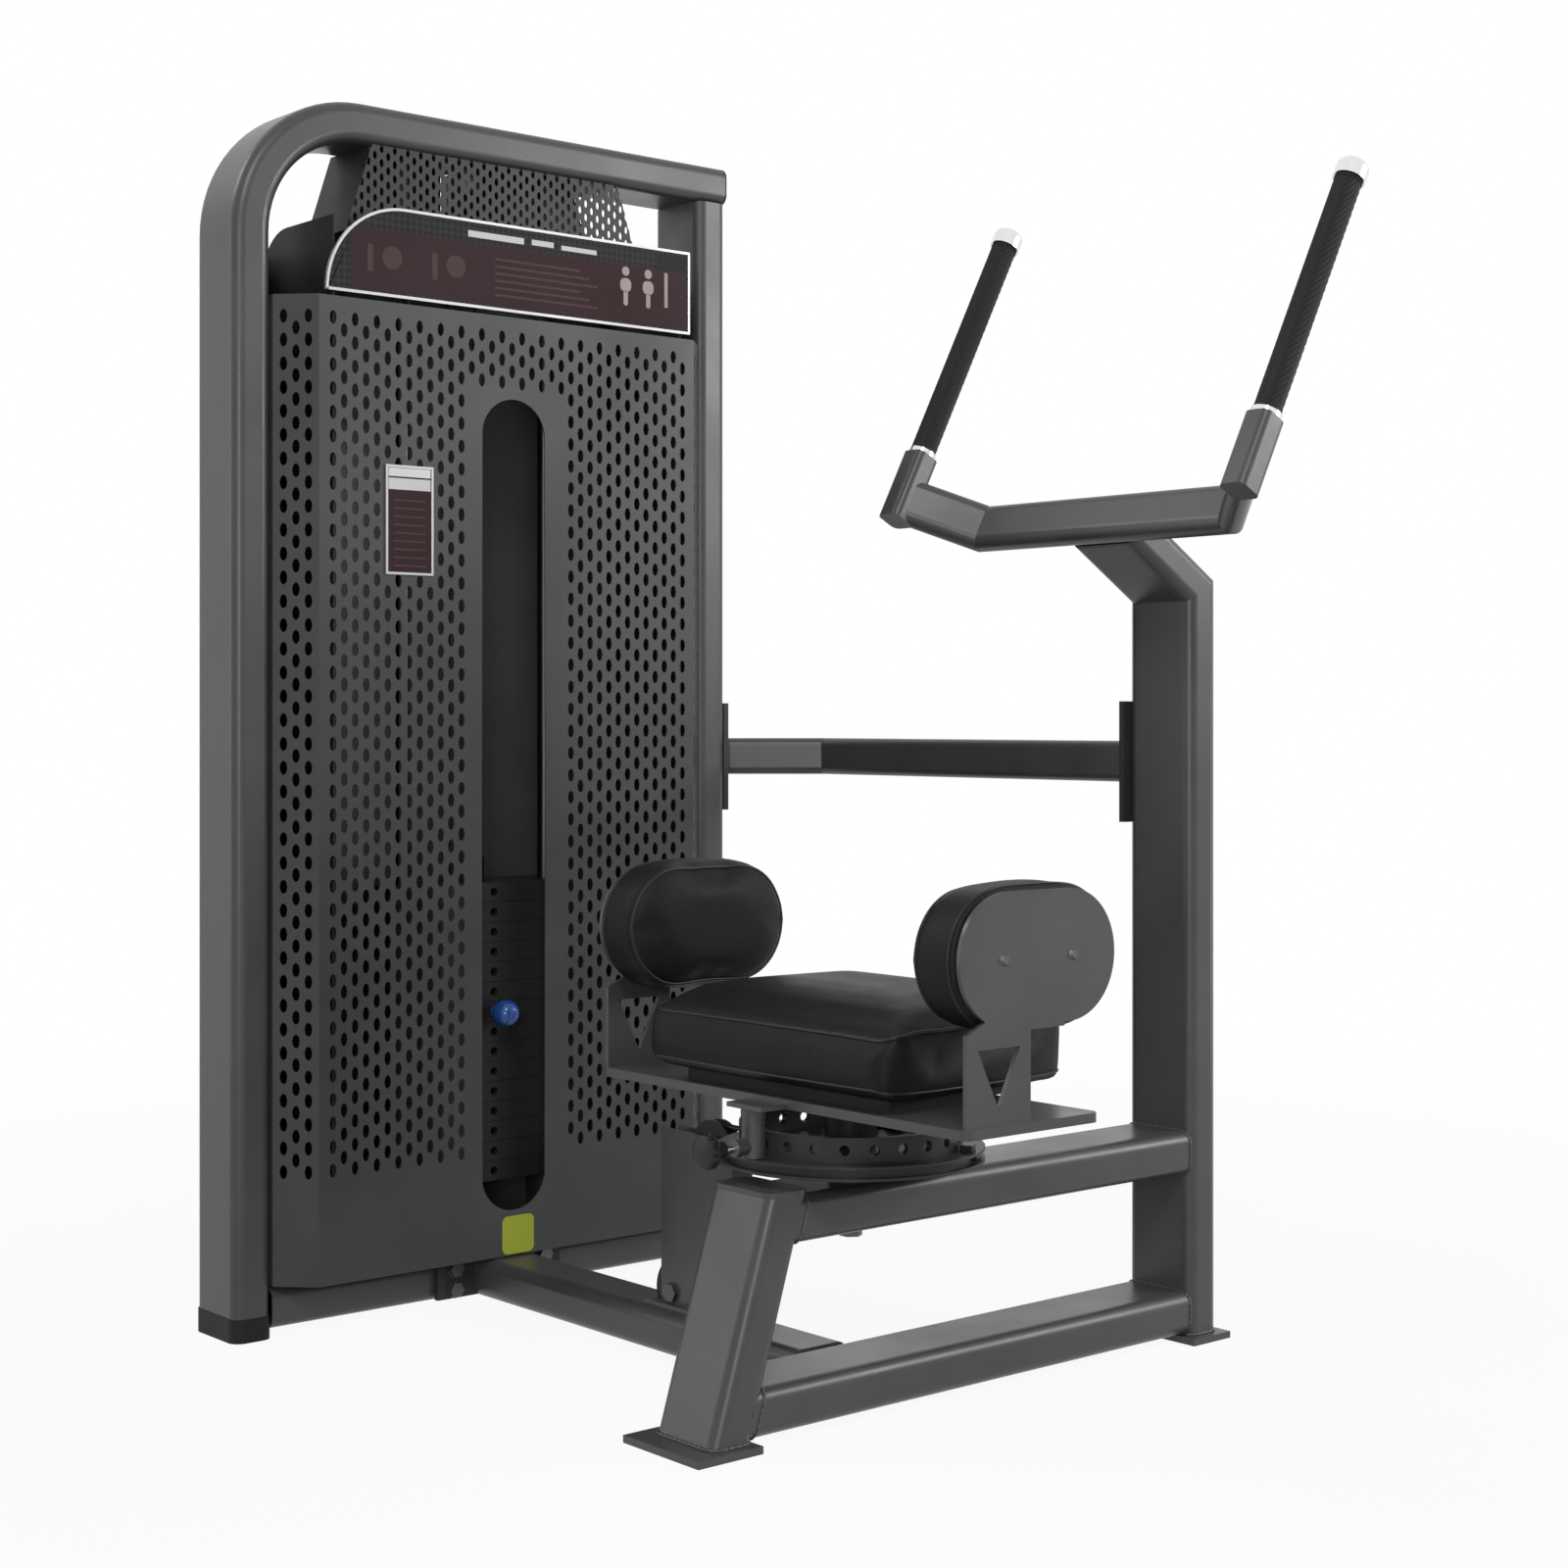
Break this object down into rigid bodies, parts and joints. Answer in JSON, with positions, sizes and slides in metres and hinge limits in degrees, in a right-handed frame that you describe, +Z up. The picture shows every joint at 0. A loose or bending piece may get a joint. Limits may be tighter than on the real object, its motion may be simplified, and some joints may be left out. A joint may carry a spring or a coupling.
{
  "type": "rotary torso machine",
  "caption": "Weight-stack gym machine for twisting the waist: swivel seat between hip pads, fixed handles on a bent post, and a shrouded stack lifted by a cable.",
  "frame": {"origin": "centre of the overall box's base, on the floor", "axes": "+Z up; +Y from the seat frame towards the weight tower's back; +X along the tower's width, from the seat's open end towards the handle post"},
  "size_m": [0.9275, 1.112, 1.5],
  "materials": {
    "charcoal_frame": "satin",
    "black_steel": "satin",
    "black_plastic": "matte",
    "black_vinyl": "satin",
    "black_rubber": "matte",
    "bright_steel": "polished",
    "coated_cable": "satin",
    "printed_board": "satin, dark with a silver edge",
    "sticker_green": "matte",
    "blue_knob": "gloss",
    "plywood": "painted black"
  },
  "bodies": {
    "frame": {"tower_arch": "charcoal_frame", "tower_right_upright": "charcoal_frame", "top_rail_end_cap": "black_plastic", "tower_feet": "black_plastic", "tower_base_beam": "charcoal_frame", "front_shroud": "charcoal_frame", "rear_shroud": "charcoal_frame", "tower_liners": "black_steel", "header_panel": "charcoal_frame", "instruction_board": "printed_board", "label_plate": "printed_board", "base_sticker": "sticker_green", "guide_rods": "bright_steel", "stack_buffers": "black_rubber", "resting_weight_plates": "black_steel", "tower_pulley_ears": "charcoal_frame", "pulley_axles": "bright_steel", "pulley_post": "charcoal_frame", "drive_cable": "coated_cable", "floor_beam": "charcoal_frame", "tower_flange": "black_steel", "frame_bolts": "bright_steel", "front_leg": "charcoal_frame", "front_leg_cap": "black_steel", "foot_plates": "charcoal_frame", "main_beam": "charcoal_frame", "seat_beam": "charcoal_frame", "post": "charcoal_frame", "link_bar": "charcoal_frame", "link_flanges": "charcoal_frame", "handle_crossbar": "charcoal_frame", "handle_tubes": "bright_steel", "grip_rings": "bright_steel", "grips": "black_rubber", "grip_end_caps": "bright_steel", "spindle": "bright_steel"},
    "turntable_disc": {"index_disc": "black_steel", "cable_anchor": "black_steel"},
    "seat": {"seat_hub": "black_steel", "seat_carrier": "charcoal_frame", "index_pin_guide": "charcoal_frame", "seat_board": "plywood", "seat_pad": "black_vinyl", "hip_pad_plates": "charcoal_frame", "left_hip_pad": "black_vinyl", "right_hip_pad": "black_vinyl", "hip_pad_screws": "bright_steel"},
    "index_pin_body": {"index_pin": "bright_steel", "index_knob": "black_plastic"},
    "lifted_stack": {"lifted_weight_plates": "black_steel", "selector_stem": "bright_steel", "stack_cable": "coated_cable"},
    "selector": {"selector_pin": "bright_steel", "selector_knob": "blue_knob"},
    "top_pulley_body": {"top_pulley": "black_plastic"},
    "base_pulley_body": {"base_pulley": "black_plastic"},
    "post_upper_body": {"post_pulley_upper": "black_plastic"},
    "post_lower_body": {"post_pulley_lower": "black_plastic"},
    "guide_roller_body": {"guide_roller": "black_plastic"}
  },
  "joints": [
    {"name": "disc_turn", "type": "hinge", "parent": "frame", "child": "turntable_disc", "pos_m": [-0.093, -0.262, 0.2785], "axis": [0, 0, -1], "range_deg": [0, 75]},
    {"name": "seat_start_angle", "type": "hinge", "parent": "turntable_disc", "child": "seat", "pos_m": [-0.093, -0.262, 0.2785], "axis": [0, 0, 1], "range_deg": [-60, 60]},
    {"name": "index_pin_slide", "type": "slide", "parent": "seat", "child": "index_pin_body", "axis": [1, 0, 0], "range_m": [0, 0.014]},
    {"name": "stack_lift", "type": "slide", "parent": "frame", "child": "lifted_stack", "axis": [0, 0, 1], "range_m": [0, 0.1811], "deforming": ["stack_cable"]},
    {"name": "selector_pin_pull", "type": "slide", "parent": "lifted_stack", "child": "selector", "axis": [0, -1, 0], "range_m": [0, 0.06]},
    {"name": "top_pulley_spin", "type": "hinge", "parent": "frame", "child": "top_pulley_body", "pos_m": [-0.093, 0.4985, 1.395], "axis": [-1, 0, 0], "range_deg": [0, 319.5]},
    {"name": "base_pulley_spin", "type": "hinge", "parent": "frame", "child": "base_pulley_body", "pos_m": [-0.093, 0.4985, 0.0775], "axis": [-1, 0, 0], "range_deg": [0, 319.5]},
    {"name": "post_lower_spin", "type": "hinge", "parent": "frame", "child": "post_lower_body", "pos_m": [-0.093, 0.031, 0.0775], "axis": [-1, 0, 0], "range_deg": [0, 319.5]},
    {"name": "post_upper_spin", "type": "hinge", "parent": "frame", "child": "post_upper_body", "pos_m": [-0.093, -0.034, 0.246], "axis": [1, 0, 0], "range_deg": [0, 319.5]},
    {"name": "guide_roller_spin", "type": "hinge", "parent": "frame", "child": "guide_roller_body", "pos_m": [-0.073, -0.089, 0.2785], "axis": [0, 0, 1], "range_deg": [0, 518.5]}
  ],
  "couplings": [
    {"joint": "stack_lift", "follows": "disc_turn", "m_per_rad": 0.138},
    {"joint": "top_pulley_spin", "follows": "disc_turn", "ratio": 4.2462},
    {"joint": "base_pulley_spin", "follows": "disc_turn", "ratio": 4.2462},
    {"joint": "post_lower_spin", "follows": "disc_turn", "ratio": 4.2462},
    {"joint": "post_upper_spin", "follows": "disc_turn", "ratio": 4.2462},
    {"joint": "guide_roller_spin", "follows": "disc_turn", "ratio": 6.9}
  ]
}
